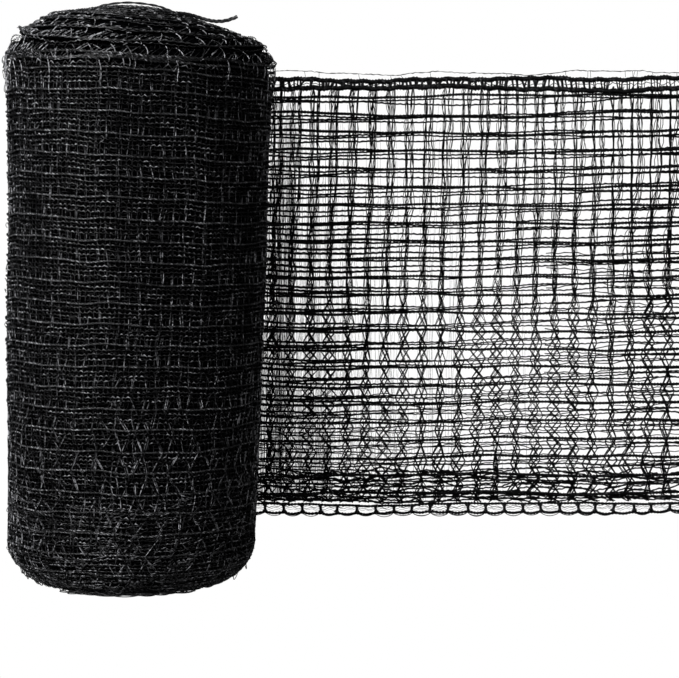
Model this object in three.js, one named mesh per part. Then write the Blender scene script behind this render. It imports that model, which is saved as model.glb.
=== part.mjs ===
// A roll of knitted deer fence netting that stands on end. The net is folded lengthwise in four and wound
// on itself, and its loose end is drawn off the back of the roll and out to one side.
// Millimetres, +Z up. The origin is the centre of the flat spot that the roll stands on.
// +X runs along the loose end, and +Y is the back of the roll, where the loose end leaves it.
import * as THREE from "three";

// The net
const MESH = 19;
const NET_ROWS = 24;
const YARN_COLOUR = 0x17181a;
const YARN_ROUGHNESS = 0.5;

// The wound roll: the outer turns are a band, and the inner turns stand out of it at both ends
const BAND_FOOT = 31;
const BAND_TOP = BAND_FOOT + NET_ROWS * MESH;
const FOOT_RADIUS = 121.5;
const TOP_RADIUS = 130;
const TURN_STEP = 11;
const COIL_TURNS = 10;
const LEAN = 12;
const TOP_TILT = 0.05;
const TILT_START = 150;
const DOME_TILT = 0.055;
const DOME_START = 495;
const DOME_FULL = 520;
const SECTORS = 44;
const ROW_RIB = 1.6;
const UNEVEN = 1.5;
const EYE_FLOOR = 505;
const FLAT_CENTRE = { x: -22, y: -14 };

// Radius and height of the grooves between the turns that stand out on top, from the eye outwards
const TOP_DOME = [
  { radius: 0, height: 538.5 },
  { radius: 14, height: 537.5 },
  { radius: 36, height: 534 },
  { radius: 61, height: 528 },
  { radius: 77, height: 524.5 },
  { radius: 88, height: 521.5 },
  { radius: 98, height: 517 },
  { radius: 107, height: 512.5 },
  { radius: 114, height: 507.5 },
  { radius: 119, height: 502.5 },
  { radius: 124, height: 496 },
  { radius: 130, height: 485 },
];

// One turn's top across its thickness: how far in from its outer face, and how far above the groove
const TURN_CREST = [
  { inset: 0, rise: 0 },
  { inset: 3, rise: 4 },
  { inset: 7.5, rise: 4 },
];

// Radius and height of the turns that stand out below, from the band inwards to the flat spot
const FOOT_STEPS = [
  { radius: 101.5, height: 11 },
  { radius: 92, height: 4 },
  { radius: 82, height: 0 },
  { radius: 40, height: 0 },
];

// The loose end: one back-and-forth section of two legs with the fold at the bottom, gaps at twice the mesh
const LEG = 2.4;
const LEG_GAP = 3;
const STRAND_WIDE = 2.2;
const STRAND_TALL = 3.2;
const GAP_PITCH = 2 * MESH;
const GAP_COLUMNS = 13;
const FRONT_GAP_ROWS = 11;
const PLAIN_START = 56;
const ROLL_CLEAR = 0.6;
const FOLD_FOOT = 46;
const BACK_TOP = 487;
const FOLD_STEPS = 4;
const SHEET_SETBACK = 4.4;
const SHEET_SAG = 3;
const SHEET_WAVE = 3.5;
const WAVE_LONG = 310;
const WAVE_SHORT = 170;
const WAVE_START = 150;

// Height and half thickness down the knitted selvedge at the top of the front leg: two ropes, thin between
const SELVEDGE = [
  { height: 483.3, half: 1 },
  { height: 481, half: 2.3 },
  { height: 478.7, half: 0.8 },
  { height: 472.3, half: 0.8 },
  { height: 470, half: 2 },
  { height: 467.7, half: 1.2 },
];

// The loose end of selvedge on top of the roll, along its centre line
const TAIL_THICK = 3.6;
const TAIL_SIDES = 8;
const TAIL_STEPS = 18;
const TAIL_ROUTE = [
  { x: 46, y: -46, z: 532.4 },
  { x: 49, y: -42, z: 532.4 },
  { x: 52, y: -38, z: 532.4 },
  { x: 55, y: -34, z: 532.2 },
  { x: 59, y: -30.4, z: 531.5 },
  { x: 63, y: -27.4, z: 530.5 },
  { x: 67, y: -25, z: 529.3 },
  { x: 71, y: -23.2, z: 528.2 },
  { x: 75, y: -22, z: 527.3 },
  { x: 79, y: -21.2, z: 526.7 },
  { x: 83, y: -20.8, z: 526.5 },
  { x: 88, y: -20.6, z: 526.8 },
  { x: 93, y: -20.6, z: 527.9 },
  { x: 98, y: -20.8, z: 529.6 },
  { x: 101, y: -21.2, z: 530.9 },
];

const yarn = new THREE.MeshStandardMaterial({
  color: YARN_COLOUR,
  roughness: YARN_ROUGHNESS,
  metalness: 0,
});

// A closed mesh from corner points and faces, with points in the same place joined and empty faces left out
function closedMesh(name, points, faces) {
  const places = new Map();
  const positions = [];
  const joined = points.map((p) => {
    const key = p.map((v) => Math.round(v * 1e4)).join(",");
    if (!places.has(key)) {
      places.set(key, positions.length / 3);
      positions.push(...p);
    }
    return places.get(key);
  });
  const index = [];
  for (const [a, b, c] of faces.map((face) => face.map((i) => joined[i]))) {
    if (a !== b && b !== c && c !== a) {
      index.push(a, b, c);
    }
  }
  const geometry = new THREE.BufferGeometry();
  geometry.setAttribute("position", new THREE.Float32BufferAttribute(positions, 3));
  geometry.setIndex(index);
  geometry.computeVertexNormals();
  const mesh = new THREE.Mesh(geometry, yarn);
  mesh.name = name;
  return mesh;
}

// The height of a table of crests at a radius, in straight lines between its rows
function tableHeight(table, radius) {
  const last = table.findIndex((row) => row.radius >= radius);
  const upper = table[last < 0 ? table.length - 1 : last];
  const lower = table[Math.max(0, (last < 0 ? table.length - 1 : last) - 1)];
  if (upper === lower) {
    return upper.height;
  }
  const share = (radius - lower.radius) / (upper.radius - lower.radius);
  return THREE.MathUtils.lerp(lower.height, upper.height, share);
}

function axisX(z) {
  return (LEAN * z) / BAND_TOP;
}

function bandRadius(z) {
  const share = (z - BAND_FOOT) / (BAND_TOP - BAND_FOOT);
  return THREE.MathUtils.lerp(FOOT_RADIUS, TOP_RADIUS, share);
}

// Low swellings of the outer turn, none where the loose end leaves it
function swelling(turn, z) {
  const long = Math.sin(2 * Math.PI * (2 * turn + z / 330));
  const short = Math.sin(2 * Math.PI * (5 * turn - z / 210));
  return UNEVEN * Math.sin(Math.PI * turn) * (0.6 * long + 0.4 * short);
}

// A corner of the roll at a part of a turn, counted from the back, where the loose end leaves
function rollPoint(turn, radius, z) {
  const angle = 2 * Math.PI * (turn + 0.25);
  const x = radius * Math.cos(angle);
  const y = radius * Math.sin(angle);
  const band = THREE.MathUtils.clamp((z - TILT_START) / (BAND_TOP - TILT_START), 0, 1);
  const dome = THREE.MathUtils.clamp((z - DOME_START) / (DOME_FULL - DOME_START), 0, 1);
  const tilt = TOP_TILT * band + DOME_TILT * dome;
  return [x + axisX(z), y, z - tilt * x];
}

// The foot and the band as rings of corners, from the flat spot up to the last row but one
function bandRings() {
  const rings = [];
  for (const step of [...FOOT_STEPS].reverse()) {
    rings.push((turn) => rollPoint(turn, step.radius, step.height));
  }
  for (let half = 0; half < 2 * NET_ROWS; half += 1) {
    const z = BAND_FOOT + (half * MESH) / 2;
    const rib = half % 2 === 0 ? ROW_RIB : 0;
    rings.push((turn) => {
      const radius = bandRadius(z) - TURN_STEP * turn + rib + swelling(turn, z);
      return rollPoint(turn, radius, z);
    });
  }
  return rings;
}

// The turns on top as rings that wind inwards: each ends where the ring one turn further in begins
function coilRings() {
  const rings = [];
  for (let count = 0; count < COIL_TURNS; count += 1) {
    for (const { inset, rise } of TURN_CREST) {
      rings.push((turn) => {
        const radius = TOP_RADIUS - TURN_STEP * (count + turn) - inset;
        return rollPoint(turn, radius, tableHeight(TOP_DOME, radius) + rise);
      });
    }
  }
  return rings;
}

function makeRoll() {
  const band = bandRings();
  const rings = [...band, ...coilRings()];
  const points = [];
  const faces = [];
  const across = SECTORS + 1;
  const at = (ring, k) => ring * across + k;
  for (const ring of rings) {
    for (let k = 0; k <= SECTORS; k += 1) {
      points.push(ring(k / SECTORS));
    }
  }
  const quad = (ring, k, next) => {
    faces.push([at(ring, k), at(ring, next), at(ring + 1, next)]);
    faces.push([at(ring, k), at(ring + 1, next), at(ring + 1, k)]);
  };
  for (let ring = 0; ring + 1 < rings.length; ring += 1) {
    for (let k = 0; k < SECTORS; k += 1) {
      quad(ring, k, k + 1);
    }
    if (ring < band.length) {
      quad(ring, SECTORS, 0);
    }
  }
  // The end of the outermost turn, under the crest it has on top
  const edge = band.length;
  for (let crest = 0; crest + 1 < TURN_CREST.length; crest += 1) {
    faces.push([at(edge, SECTORS), at(edge + crest, 0), at(edge + crest + 1, 0)]);
  }
  // The flat spot below, and the eye on top with the end of the innermost turn
  const flat = points.push([FLAT_CENTRE.x, FLAT_CENTRE.y, 0]) - 1;
  const eye = points.push(rollPoint(0, 0, EYE_FLOOR)) - 1;
  const last = rings.length - 1;
  for (let k = 0; k < SECTORS; k += 1) {
    faces.push([at(0, k + 1), at(0, k), flat]);
    faces.push([at(last, k), at(last, k + 1), eye]);
  }
  for (let ring = last - TURN_CREST.length; ring < last; ring += 1) {
    faces.push([at(ring + 1, SECTORS), at(ring, SECTORS), eye]);
  }
  return closedMesh("net_roll", points, faces);
}

// The stations of the folded section: down the front leg, around the fold and up the back leg.
// Each has its offset across the section, its height, the way its face looks, its half thickness, how far
// the columns have slid by half a gap, and whether the row that follows it is cut through.
function sheetStations() {
  const bend = (LEG + LEG_GAP) / 2;
  const half = LEG / 2;
  const stations = [];
  const front = (z, thick, cut) =>
    stations.push({ across: -bend, z, lookAcross: -1, lookUp: 0, half: thick, slide: 0, cut });
  const back = (z, cut) =>
    stations.push({ across: bend, z, lookAcross: 1, lookUp: 0, half, slide: 1, cut });
  SELVEDGE.forEach((row, i) => front(row.height, row.half, i === SELVEDGE.length - 1));
  const top = SELVEDGE[SELVEDGE.length - 1].height;
  const foot = FOLD_FOOT + half + bend;
  const pitch = (top - foot) / FRONT_GAP_ROWS;
  for (let row = 1; row < FRONT_GAP_ROWS; row += 1) {
    const z = top - row * pitch;
    front(z + STRAND_TALL, half, false);
    front(z, half, true);
  }
  front(foot + STRAND_TALL, half, false);
  for (let i = 0; i <= FOLD_STEPS; i += 1) {
    const angle = (Math.PI * i) / FOLD_STEPS;
    const lookAcross = -Math.cos(angle);
    const lookUp = -Math.sin(angle);
    const slide = i / FOLD_STEPS;
    const across = bend * lookAcross;
    stations.push({ across, z: foot + bend * lookUp, lookAcross, lookUp, half, slide, cut: false });
  }
  back(foot + STRAND_TALL, true);
  for (let row = 0; row < FRONT_GAP_ROWS; row += 1) {
    const z = foot + (row + 0.5) * pitch;
    back(z, false);
    back(z + STRAND_TALL, true);
  }
  back(BACK_TOP - STRAND_TALL, false);
  back(BACK_TOP, false);
  return stations;
}

// The lines across the loose end: its start, the two sides of each gap, and its cut end
function sheetColumns() {
  const columns = [{ x: ROLL_CLEAR, lean: 1, slide: 0, cut: false }];
  for (let gap = 0; gap < GAP_COLUMNS; gap += 1) {
    const x = PLAIN_START + gap * GAP_PITCH;
    const far = gap === GAP_COLUMNS - 1 ? 0 : MESH;
    columns.push({ x, lean: 0, slide: MESH, cut: true });
    columns.push({ x: x + GAP_PITCH - STRAND_WIDE, lean: 0, slide: far, cut: false });
  }
  columns.push({ x: PLAIN_START + GAP_COLUMNS * GAP_PITCH, lean: 0, slide: 0, cut: false });
  return columns;
}

// A corner of the loose end, set back on the roll's outer turn and a little wavy away from it
function sheetPoint(column, station, side) {
  const z = station.z + side * station.half * station.lookUp;
  const x = column.x + column.lean * axisX(z) + column.slide * station.slide;
  const length = PLAIN_START + GAP_COLUMNS * GAP_PITCH;
  const free = THREE.MathUtils.smoothstep(x, 0, WAVE_START);
  const long = Math.sin((2 * Math.PI * x) / WAVE_LONG + 0.8);
  const short = Math.sin((2 * Math.PI * x) / WAVE_SHORT + z / 90);
  const wave = SHEET_WAVE * free * (0.65 * long + 0.35 * short);
  const sag = SHEET_SAG * free * Math.sin((Math.PI * x) / length);
  const back = bandRadius(z) - SHEET_SETBACK;
  return [x, back + station.across + side * station.half * station.lookAcross + wave, z - sag];
}

function makeLooseEnd() {
  const stations = sheetStations();
  const columns = sheetColumns();
  const points = [];
  const faces = [];
  for (const station of stations) {
    for (const column of columns) {
      points.push(sheetPoint(column, station, 1), sheetPoint(column, station, -1));
    }
  }
  const rows = stations.length - 1;
  const wide = columns.length - 1;
  const at = (row, i, side) => 2 * (row * columns.length + i) + side;
  const quad = (a, b, c, d) => faces.push([a, b, c], [a, c, d]);
  const whole = (row, i) => {
    const inside = row >= 0 && row < rows && i >= 0 && i < wide;
    return inside && !(stations[row].cut && columns[i].cut);
  };
  for (let row = 0; row < rows; row += 1) {
    for (let i = 0; i < wide; i += 1) {
      if (!whole(row, i)) {
        continue;
      }
      quad(at(row, i, 0), at(row + 1, i, 0), at(row + 1, i + 1, 0), at(row, i + 1, 0));
      quad(at(row, i, 1), at(row, i + 1, 1), at(row + 1, i + 1, 1), at(row + 1, i, 1));
      if (!whole(row - 1, i)) {
        quad(at(row, i, 0), at(row, i + 1, 0), at(row, i + 1, 1), at(row, i, 1));
      }
      if (!whole(row + 1, i)) {
        quad(at(row + 1, i + 1, 0), at(row + 1, i, 0), at(row + 1, i, 1), at(row + 1, i + 1, 1));
      }
      if (!whole(row, i - 1)) {
        quad(at(row + 1, i, 0), at(row, i, 0), at(row, i, 1), at(row + 1, i, 1));
      }
      if (!whole(row, i + 1)) {
        quad(at(row, i + 1, 0), at(row + 1, i + 1, 0), at(row + 1, i + 1, 1), at(row, i + 1, 1));
      }
    }
  }
  return closedMesh("loose_end", points, faces);
}

function makeTail() {
  const route = TAIL_ROUTE.map((p) => new THREE.Vector3(p.x, p.y, p.z));
  const corners = [];
  for (let i = 0; i < TAIL_SIDES; i += 1) {
    const angle = (2 * Math.PI * i) / TAIL_SIDES;
    corners.push(new THREE.Vector2(Math.cos(angle), Math.sin(angle)).multiplyScalar(TAIL_THICK / 2));
  }
  const geometry = new THREE.ExtrudeGeometry(new THREE.Shape(corners), {
    steps: TAIL_STEPS,
    bevelEnabled: false,
    extrudePath: new THREE.CatmullRomCurve3(route),
  });
  const mesh = new THREE.Mesh(geometry, yarn);
  mesh.name = "selvedge_tail";
  return mesh;
}

const part = new THREE.Group();
part.name = "netting_roll";
part.add(makeRoll(), makeLooseEnd(), makeTail());
export default part;
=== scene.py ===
import bpy
import numpy as np
from bpy.props import FloatProperty, FloatVectorProperty, IntProperty, PointerProperty
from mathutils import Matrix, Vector
from numpy import cos, exp, pi, sin
from numpy.random import default_rng


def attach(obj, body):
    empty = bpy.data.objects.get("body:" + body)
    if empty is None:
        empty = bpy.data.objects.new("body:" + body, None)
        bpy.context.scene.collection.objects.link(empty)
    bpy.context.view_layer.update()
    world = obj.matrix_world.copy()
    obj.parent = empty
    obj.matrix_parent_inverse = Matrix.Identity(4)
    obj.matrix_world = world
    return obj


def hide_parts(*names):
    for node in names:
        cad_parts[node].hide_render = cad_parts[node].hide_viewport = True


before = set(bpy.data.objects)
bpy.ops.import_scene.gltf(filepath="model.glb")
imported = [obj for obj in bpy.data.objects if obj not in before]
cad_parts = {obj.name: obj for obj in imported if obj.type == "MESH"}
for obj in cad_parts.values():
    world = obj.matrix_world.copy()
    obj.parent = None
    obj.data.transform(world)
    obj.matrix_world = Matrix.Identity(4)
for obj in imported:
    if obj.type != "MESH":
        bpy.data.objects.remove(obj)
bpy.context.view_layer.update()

bl_info = {
    "name": "Netting roll",
    "version": (1, 0, 0),
    "blender": (4, 5, 0),
    "location": "View3D > Sidebar > Netting",
    "description": "Knits the strands of a roll of netting around its packed solids",
    "category": "Object",
}

# Shapes are worked out in millimetres, as in the part's source, and put into the meshes in metres.
MM = 0.001
UP = (0, 0, 1)
TAU = 2 * pi

# The wound roll, as in the part's source
BAND_FOOT = 31
BAND_TOP = 487
FOOT_RADIUS = 121.5
TOP_RADIUS = 130
TURN_STEP = 11
STEP_START = 8
TURN_LENGTH = 760
LEAN = 12
TOP_TILT = 0.05
TILT_START = 150
UNEVEN = 1.5
DOME_TILT = 0.055
DOME_START = 495
DOME_FULL = 520
DOME_RADIUS = [0, 14, 36, 61, 77, 88, 98, 107, 114, 119, 124, 130]
DOME_HEIGHT = [538.5, 537.5, 534, 528, 524.5, 521.5, 517, 512.5, 507.5, 502.5, 496, 485]

# The outer turn's section: distance along the net from the foot of the band, radius and height
SECTION_ALONG = [-60, -25.8, -19.8, -10.3, 0.2, 11, 21, 31, 487, 520]
SECTION_RADIUS = [42, 76, 82, 91, 100, 108.5, 115.5, 121.5, 130, 130.6]
SECTION_HEIGHT = [0.6, 0.6, 0.9, 3.8, 9.2, 15.8, 23, 31, 487, 520]
FLOOR_GAP = 0.8

# The loose end
SHEET_LENGTH = 550
SHEET_SETBACK = 4.4
SHEET_SAG = 3
SHEET_WAVE = 3.5
SHEET_PITCH = 18
SHEET_TOP_ROW = 446.5
ROPE_HEIGHTS = [481, 473]
ROPE_OUT = 3.6
FOLD_HEIGHTS = [57.2, 49]
FOLD_OUT = 0.5
FIRST_TIE = 9
TIE_PITCH = 18.5

# The loose end of selvedge on top, along its centre line
TAIL_THICK = 3.6
TAIL_TWIST = 16
TAIL_ROUTE = [
    (46, -46, 532.4), (49, -42, 532.4), (52, -38, 532.4), (55, -34, 532.2), (59, -30.4, 531.5),
    (63, -27.4, 530.5), (67, -25, 529.3), (71, -23.2, 528.2), (75, -22, 527.3), (79, -21.2, 526.7),
    (83, -20.8, 526.5), (88, -20.6, 526.8), (93, -20.6, 527.9), (98, -20.8, 529.6), (101, -21.2, 530.9),
]


class NettingSizes(bpy.types.PropertyGroup):
    mesh: FloatProperty(
        name="Mesh", description="Distance between the cross bundles", default=0.019, unit="LENGTH")
    stitch: FloatProperty(
        name="Stitch", description="Length of one stitch of a chain", default=0.00317, unit="LENGTH")
    chain_yarn: FloatProperty(
        name="Chain yarn", description="Thickness of each ply of a chain", default=0.0016, unit="LENGTH")
    filament: FloatProperty(
        name="Filament", description="Thickness of a cross filament", default=0.00076, unit="LENGTH")
    seed: IntProperty(name="Seed", description="Start of the unevenness of the strands", default=7)


class NettingFinish(bpy.types.PropertyGroup):
    dark: FloatVectorProperty(
        name="Dark yarn", description="Colour of the yarn in its darkest turns",
        default=(0.0012, 0.0013, 0.0016), subtype="COLOR")
    # The light yarn is the colour of painted highlights: the shade attribute mixes it into the dark yarn where
    # glints and sheen are painted
    light: FloatVectorProperty(
        name="Light yarn", description="Colour of the thin bright filaments",
        default=(0.71, 0.715, 0.755), subtype="COLOR")
    shadow: FloatVectorProperty(
        name="Deep turns", description="Colour between the strands of the roll",
        default=(0.0004, 0.0004, 0.0005), subtype="COLOR")
    # The deep lines' colour is painted highlight on the yarn of the deep turns, far lighter than the dark yarn
    deep: FloatVectorProperty(
        name="Deep lines", description="Colour of the lines of yarn deep in the roll",
        default=(0.06, 0.06, 0.063), subtype="COLOR")
    roughness: FloatProperty(
        name="Roughness", description="Roughness of the yarn", default=0.36, subtype="FACTOR")


class NettingStage(bpy.types.PropertyGroup):
    eye: FloatVectorProperty(
        name="Camera place", description="Where the camera stands",
        default=(0.196, -2.2, 0.384), subtype="TRANSLATION")
    dip: FloatProperty(
        name="Camera dip", description="How far the camera looks down",
        default=np.radians(4.03), unit="ROTATION")
    lens: FloatProperty(name="Lens", description="Focal length in millimetres", default=123.4)
    paper: FloatProperty(
        name="Paper", description="Brightness of the floor and the paper behind", default=1.0)
    key: FloatProperty(
        name="Key light", description="Power of the soft light at the front left", default=60, unit="POWER")
    fill: FloatProperty(
        name="Fill light", description="Power of the soft light at the front right", default=12, unit="POWER")
    room: FloatProperty(
        name="Room light", description="Brightness of the light from all around", default=0.07)


# Curves and arrays

def ramp(x, low, high):
    """0 below low and 1 above high, with the cubic 3t^2 - 2t^3 between."""
    t = np.clip((x - low) / (high - low), 0, 1)
    return t * t * (3 - 2 * t)


def unit(vectors):
    """Each vector over its own length."""
    return vectors / np.maximum(np.linalg.norm(vectors, axis=-1, keepdims=True), 1e-9)


def drift(along, row, seed, lengths, heights):
    """Seeded waves along a strand: a sum of sines of these lengths and heights. Each row's phase is a random step
    from the last row's."""
    rng, repeat = default_rng(seed), 64
    total = np.zeros(np.broadcast(along, row).shape)
    for length, height in zip(lengths, heights):
        phases = np.cumsum(rng.normal(0, 0.7, repeat)) + rng.uniform(0, TAU)
        total += height * sin(TAU * along / length + phases[row % repeat])
    return total


def smooth_path(points, count):
    """A smooth line of count points through a short table: cubic Hermite pieces whose slopes are the table's
    central differences."""
    points = np.asarray(points, float)
    slopes = np.gradient(points, axis=0)
    place = np.linspace(0, len(points) - 1 - 1e-9, count)
    i = place.astype(int)
    t = (place - i)[:, None]
    return ((2 * t**3 - 3 * t**2 + 1) * points[i] + (t**3 - 2 * t**2 + t) * slopes[i]
            + (3 * t**2 - 2 * t**3) * points[i + 1] + (t**3 - t**2) * slopes[i + 1])


# Where a point of the net is

def axis_x(z):
    """The roll's axis leans to the loose end's side in proportion to the height."""
    return LEAN * z / BAND_TOP


def band_radius(z):
    """The outer turn's radius, in a straight line from the foot of the band to its top."""
    return FOOT_RADIUS + (TOP_RADIUS - FOOT_RADIUS) * (z - BAND_FOOT) / (BAND_TOP - BAND_FOOT)


def swelling(turn, z):
    """Low swellings of the outer turn: two slanted sines, none where the loose end leaves."""
    long = sin(TAU * (2 * turn + z / 330))
    short = sin(TAU * (5 * turn - z / 210))
    return UNEVEN * sin(pi * turn) * (0.6 * long + 0.4 * short)


def section(v, table):
    """A value of the section's table at v, and how much it changes from 2 mm below v to 2 mm above."""
    below, here, above = (np.interp(v + step, SECTION_ALONG, table) for step in (-2, 0, 2))
    return here, above - below


def wound(turn, radius, z):
    """A point at a part of a turn, counted from the back, at a radius and height. The upper part is tilted, and
    the dome more than the band."""
    angle = TAU * (turn + 0.25)
    x = radius * cos(angle)
    tilt = TOP_TILT * np.clip((z - TILT_START) / (BAND_TOP - TILT_START), 0, 1)
    tilt += DOME_TILT * np.clip((z - DOME_START) / (DOME_FULL - DOME_START), 0, 1)
    return np.stack(np.broadcast_arrays(x + axis_x(z), radius * sin(angle), z - tilt * x), -1)


def on_roll(u, v, w):
    """A point u along the wound net, v up its section and w out of it. The radius is the section's, less the
    step inwards of each turn, and with the swellings. Nothing goes below the gap above the floor."""
    u, v, w = np.broadcast_arrays(u, v, w)
    turn = u / TURN_LENGTH
    radius, run = section(v, SECTION_RADIUS)
    z, rise = section(v, SECTION_HEIGHT)
    length = np.hypot(rise, run)
    step = TURN_STEP * turn * np.clip((z - STEP_START) / (BAND_FOOT - STEP_START), 0, 1)
    height = np.maximum(z - w * run / length, FLOOR_GAP)
    return wound(turn, radius - step + swelling(turn, z) + w * rise / length, height)


def on_sheet(u, v, w):
    """A point u along the loose end, v up it and w towards its front. It leaves the back of the roll on a
    tangent, waves a little and sags in the middle of its length."""
    u, v, w = np.broadcast_arrays(u, v, w)
    x = u + axis_x(v) * (1 - u / SHEET_LENGTH)
    free = ramp(x, 0, 150)
    long = sin(TAU * x / 310 + 0.8)
    short = sin(TAU * x / 170 + v / 90)
    y = band_radius(v) - SHEET_SETBACK + SHEET_WAVE * free * (0.65 * long + 0.35 * short) - w
    return np.stack([x, y, v - SHEET_SAG * free * sin(pi * x / SHEET_LENGTH)], -1)


# Strands and meshes

def strands(paths, radius, look, shade, sides=3):
    """Strands along paths, as arrays of points, quads, triangles and shades. At each point of a path a ring of
    corners stands square to it, at the radius, the first towards the look direction. Rings are joined by quads
    and the ends closed by fans."""
    count, steps, _ = paths.shape
    tangent = unit(np.gradient(paths, axis=1))
    across = unit(np.cross(np.broadcast_to(look, paths.shape), tangent))
    up = np.cross(tangent, across)
    turn = TAU * (np.arange(sides)[:, None] / sides + 0.25)
    ring = cos(turn) * across[:, :, None, :] + sin(turn) * up[:, :, None, :]
    radius = np.broadcast_to(radius, (count, steps))[:, :, None, None]
    points = paths[:, :, None, :] + radius * ring
    index = np.arange(count * steps * sides).reshape(count, steps, sides)
    here, there = index[:, :-1], index[:, 1:]
    quads = np.stack([here, np.roll(here, -1, 2), np.roll(there, -1, 2), there], -1)
    fan = np.arange(1, sides - 1)
    ends = [index[:, 0][:, np.stack([0 * fan, fan + 1, fan], -1)],
            index[:, -1][:, np.stack([0 * fan, fan, fan + 1], -1)]]
    shades = np.repeat(np.broadcast_to(shade, (count, steps)), sides)
    return (points.reshape(-1, 3), quads.reshape(-1, 4),
            np.concatenate([end.reshape(-1, 3) for end in ends]), shades)


def laid(place, u, v, w, radius, shade):
    """Strands whose points are given along, up and out of the net, turned to the net's own outward way."""
    points = place(u, v, w)
    return strands(points, radius, place(u, v, np.asarray(w) + 1) - points, shade)


def piece(name, parts, finish):
    """One object at the origin from lists of points, quads, triangles and shades, riding on the one body."""
    points, quads, triangles, shades = zip(*parts)
    firsts = np.cumsum([0] + [len(some) for some in points])
    quads = np.concatenate([some + first for some, first in zip(quads, firsts)])
    triangles = np.concatenate([some + first for some, first in zip(triangles, firsts)])
    mesh = bpy.data.meshes.new(name)
    mesh.vertices.add(firsts[-1])
    mesh.vertices.foreach_set("co", (np.concatenate(points) * MM).astype(np.float32).ravel())
    corners = np.concatenate([quads.ravel(), triangles.ravel()]).astype(np.int32)
    mesh.loops.add(len(corners))
    mesh.loops.foreach_set("vertex_index", corners)
    starts = np.concatenate([4 * np.arange(len(quads)), 4 * len(quads) + 3 * np.arange(len(triangles))])
    mesh.polygons.add(len(starts))
    mesh.polygons.foreach_set("loop_start", starts.astype(np.int32))
    mesh.shade_smooth()
    mesh.update(calc_edges=True)
    if mesh.validate():
        raise RuntimeError(f"{name} has faces that don't fit together")
    attribute = mesh.attributes.new("shade", "FLOAT", "POINT")
    attribute.data.foreach_set("value", np.concatenate(shades).astype(np.float32))
    made = bpy.data.objects.new(name, mesh)
    mesh.materials.append(finish)
    bpy.context.collection.objects.link(made)
    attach(made, "root")
    return made


# The knitting

def twisted_rows(place, u, v, w, row, stitch, seed, yarn, tall=0.85, deep=0.4, dull=0.0, glint=0.04):
    """Chains of two plies. A ply's point is the chain's line plus tall times the cosine of its phase upwards and
    deep times the sine outwards. The phase turns once in two stitches, and the plies are half a turn apart. The
    shade rises by glint, a painted highlight, where a ply is outermost, unevenly along the chain and from point to
    point."""
    rng = default_rng(seed)
    start = rng.uniform(0, TAU, (len(u), 1))
    phase = pi * u / stitch + start + drift(u, row, seed + 1, [61, 37], [0.8, 0.5])
    strength = np.clip(0.7 + drift(u, row, seed + 2, [140, 47], [0.4, 0.35]), 0.1, 1.5)
    parts = []
    for half in (0, pi):
        front = sin(phase + half)
        uneven = 0.15 + 2.4 * rng.random(u.shape) ** 2
        # Painted highlight: the ply is lighter where it is outermost
        shade = np.clip(dull + glint * strength * uneven * np.clip(front, 0, 1) ** 2, 0, 1)
        parts.append(laid(place, u, v + tall * cos(phase + half), w + deep * front, yarn, shade))
    return parts


def looped_rows(place, u, v, w, row, seed, thick, swing=0.4, glint=0.04):
    """Plainer chains for the layers behind: one strand that steps up and down by about swing at each stitch,
    unevenly. It is thicker and further out at every second stitch, and lighter there by glint, a painted highlight."""
    rng = default_rng(seed + 3)
    side = 1 - 2 * ((np.arange(u.shape[1]) + row) % 2)
    strength = np.clip(0.6 + drift(u, row, seed + 2, [120, 43], [0.45, 0.4]), 0.05, 1.5)
    step = swing * (side * rng.uniform(0.4, 1.3, u.shape) + rng.normal(0, 0.3, u.shape))
    # Painted highlight at every second stitch
    shade = glint * strength * np.where(side > 0, 0.1 + 2.6 * rng.random(u.shape) ** 2, 0.06)
    u = u + rng.normal(0, 0.4, u.shape)
    return [laid(place, u, v + step, w + 0.25 * side, thick * (1 + 0.12 * side), np.clip(shade, 0, 1))]


def bundles(place, knots_u, knots_v, w, seed, thick, count, fan, shade=0.0, light=None):
    """Cross bundles of thin filaments. Each runs from chain to chain through its knots, with two points between:
    the line between the knots, plus its own offset, which grows with fan, and a bulge outwards. The shade is
    painted
    highlight: dark at the knots, and between them a random share of the one given, most often a small one.
    Thickness and light, which scales the painted highlight, may be functions of the place."""
    rng = default_rng(seed)
    rows, columns = knots_u.shape
    knots, cells = (rows, columns, count), (rows - 1, columns, count)
    fan = fan[:, :, None]
    lane = np.linspace(-1, 1, count) if count > 1 else np.zeros(1)
    u = knots_u[:, :, None] + fan * (0.4 * lane + rng.normal(0, 0.3, knots))
    offset = fan[:-1] * (0.65 * lane + rng.normal(0, 0.5, cells))
    out = rng.normal(0, 0.35, cells)
    t = np.arange(3)[:, None, None] / 3
    mid = sin(pi * t)

    def path(ends, more):
        """The points of every filament: three from each knot on, with more added, and the last knot."""
        inner = ends[:-1, None] * (1 - t) + ends[1:, None] * t + more
        return np.concatenate([inner.reshape(-1, columns * count), ends[-1].reshape(1, -1)]).T
    u = path(u, offset[:, None] * mid)
    v = path(np.repeat(knots_v[:, :, None], count, 2), 0)
    w = path(np.broadcast_to(w, knots_u.shape)[:, :, None] + 0.5 + np.zeros(knots), (out[:, None] - 0.5) * mid)
    # Painted highlights along the filaments, little at the knots
    tone = shade * rng.uniform(0, 1.5, u.shape) ** 3
    tone[:, ::3] *= 0.15
    tone = tone if light is None else tone * light(u, v)
    radius = thick(u, v) if callable(thick) else thick
    return [laid(place, u, v, w, radius, np.clip(tone, 0, 1))]


# Finishes

def new_material(name):
    """A material with nodes, and its node tree."""
    material = bpy.data.materials.new(name)
    material.use_nodes = True
    return material, material.node_tree


def feed(node, inputs):
    """Sets each input of a node to a value, or links it to another node's output."""
    for name, value in inputs.items():
        if isinstance(value, bpy.types.NodeSocket):
            node.id_data.links.new(value, node.inputs[name])
        else:
            node.inputs[name].default_value = value


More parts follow.
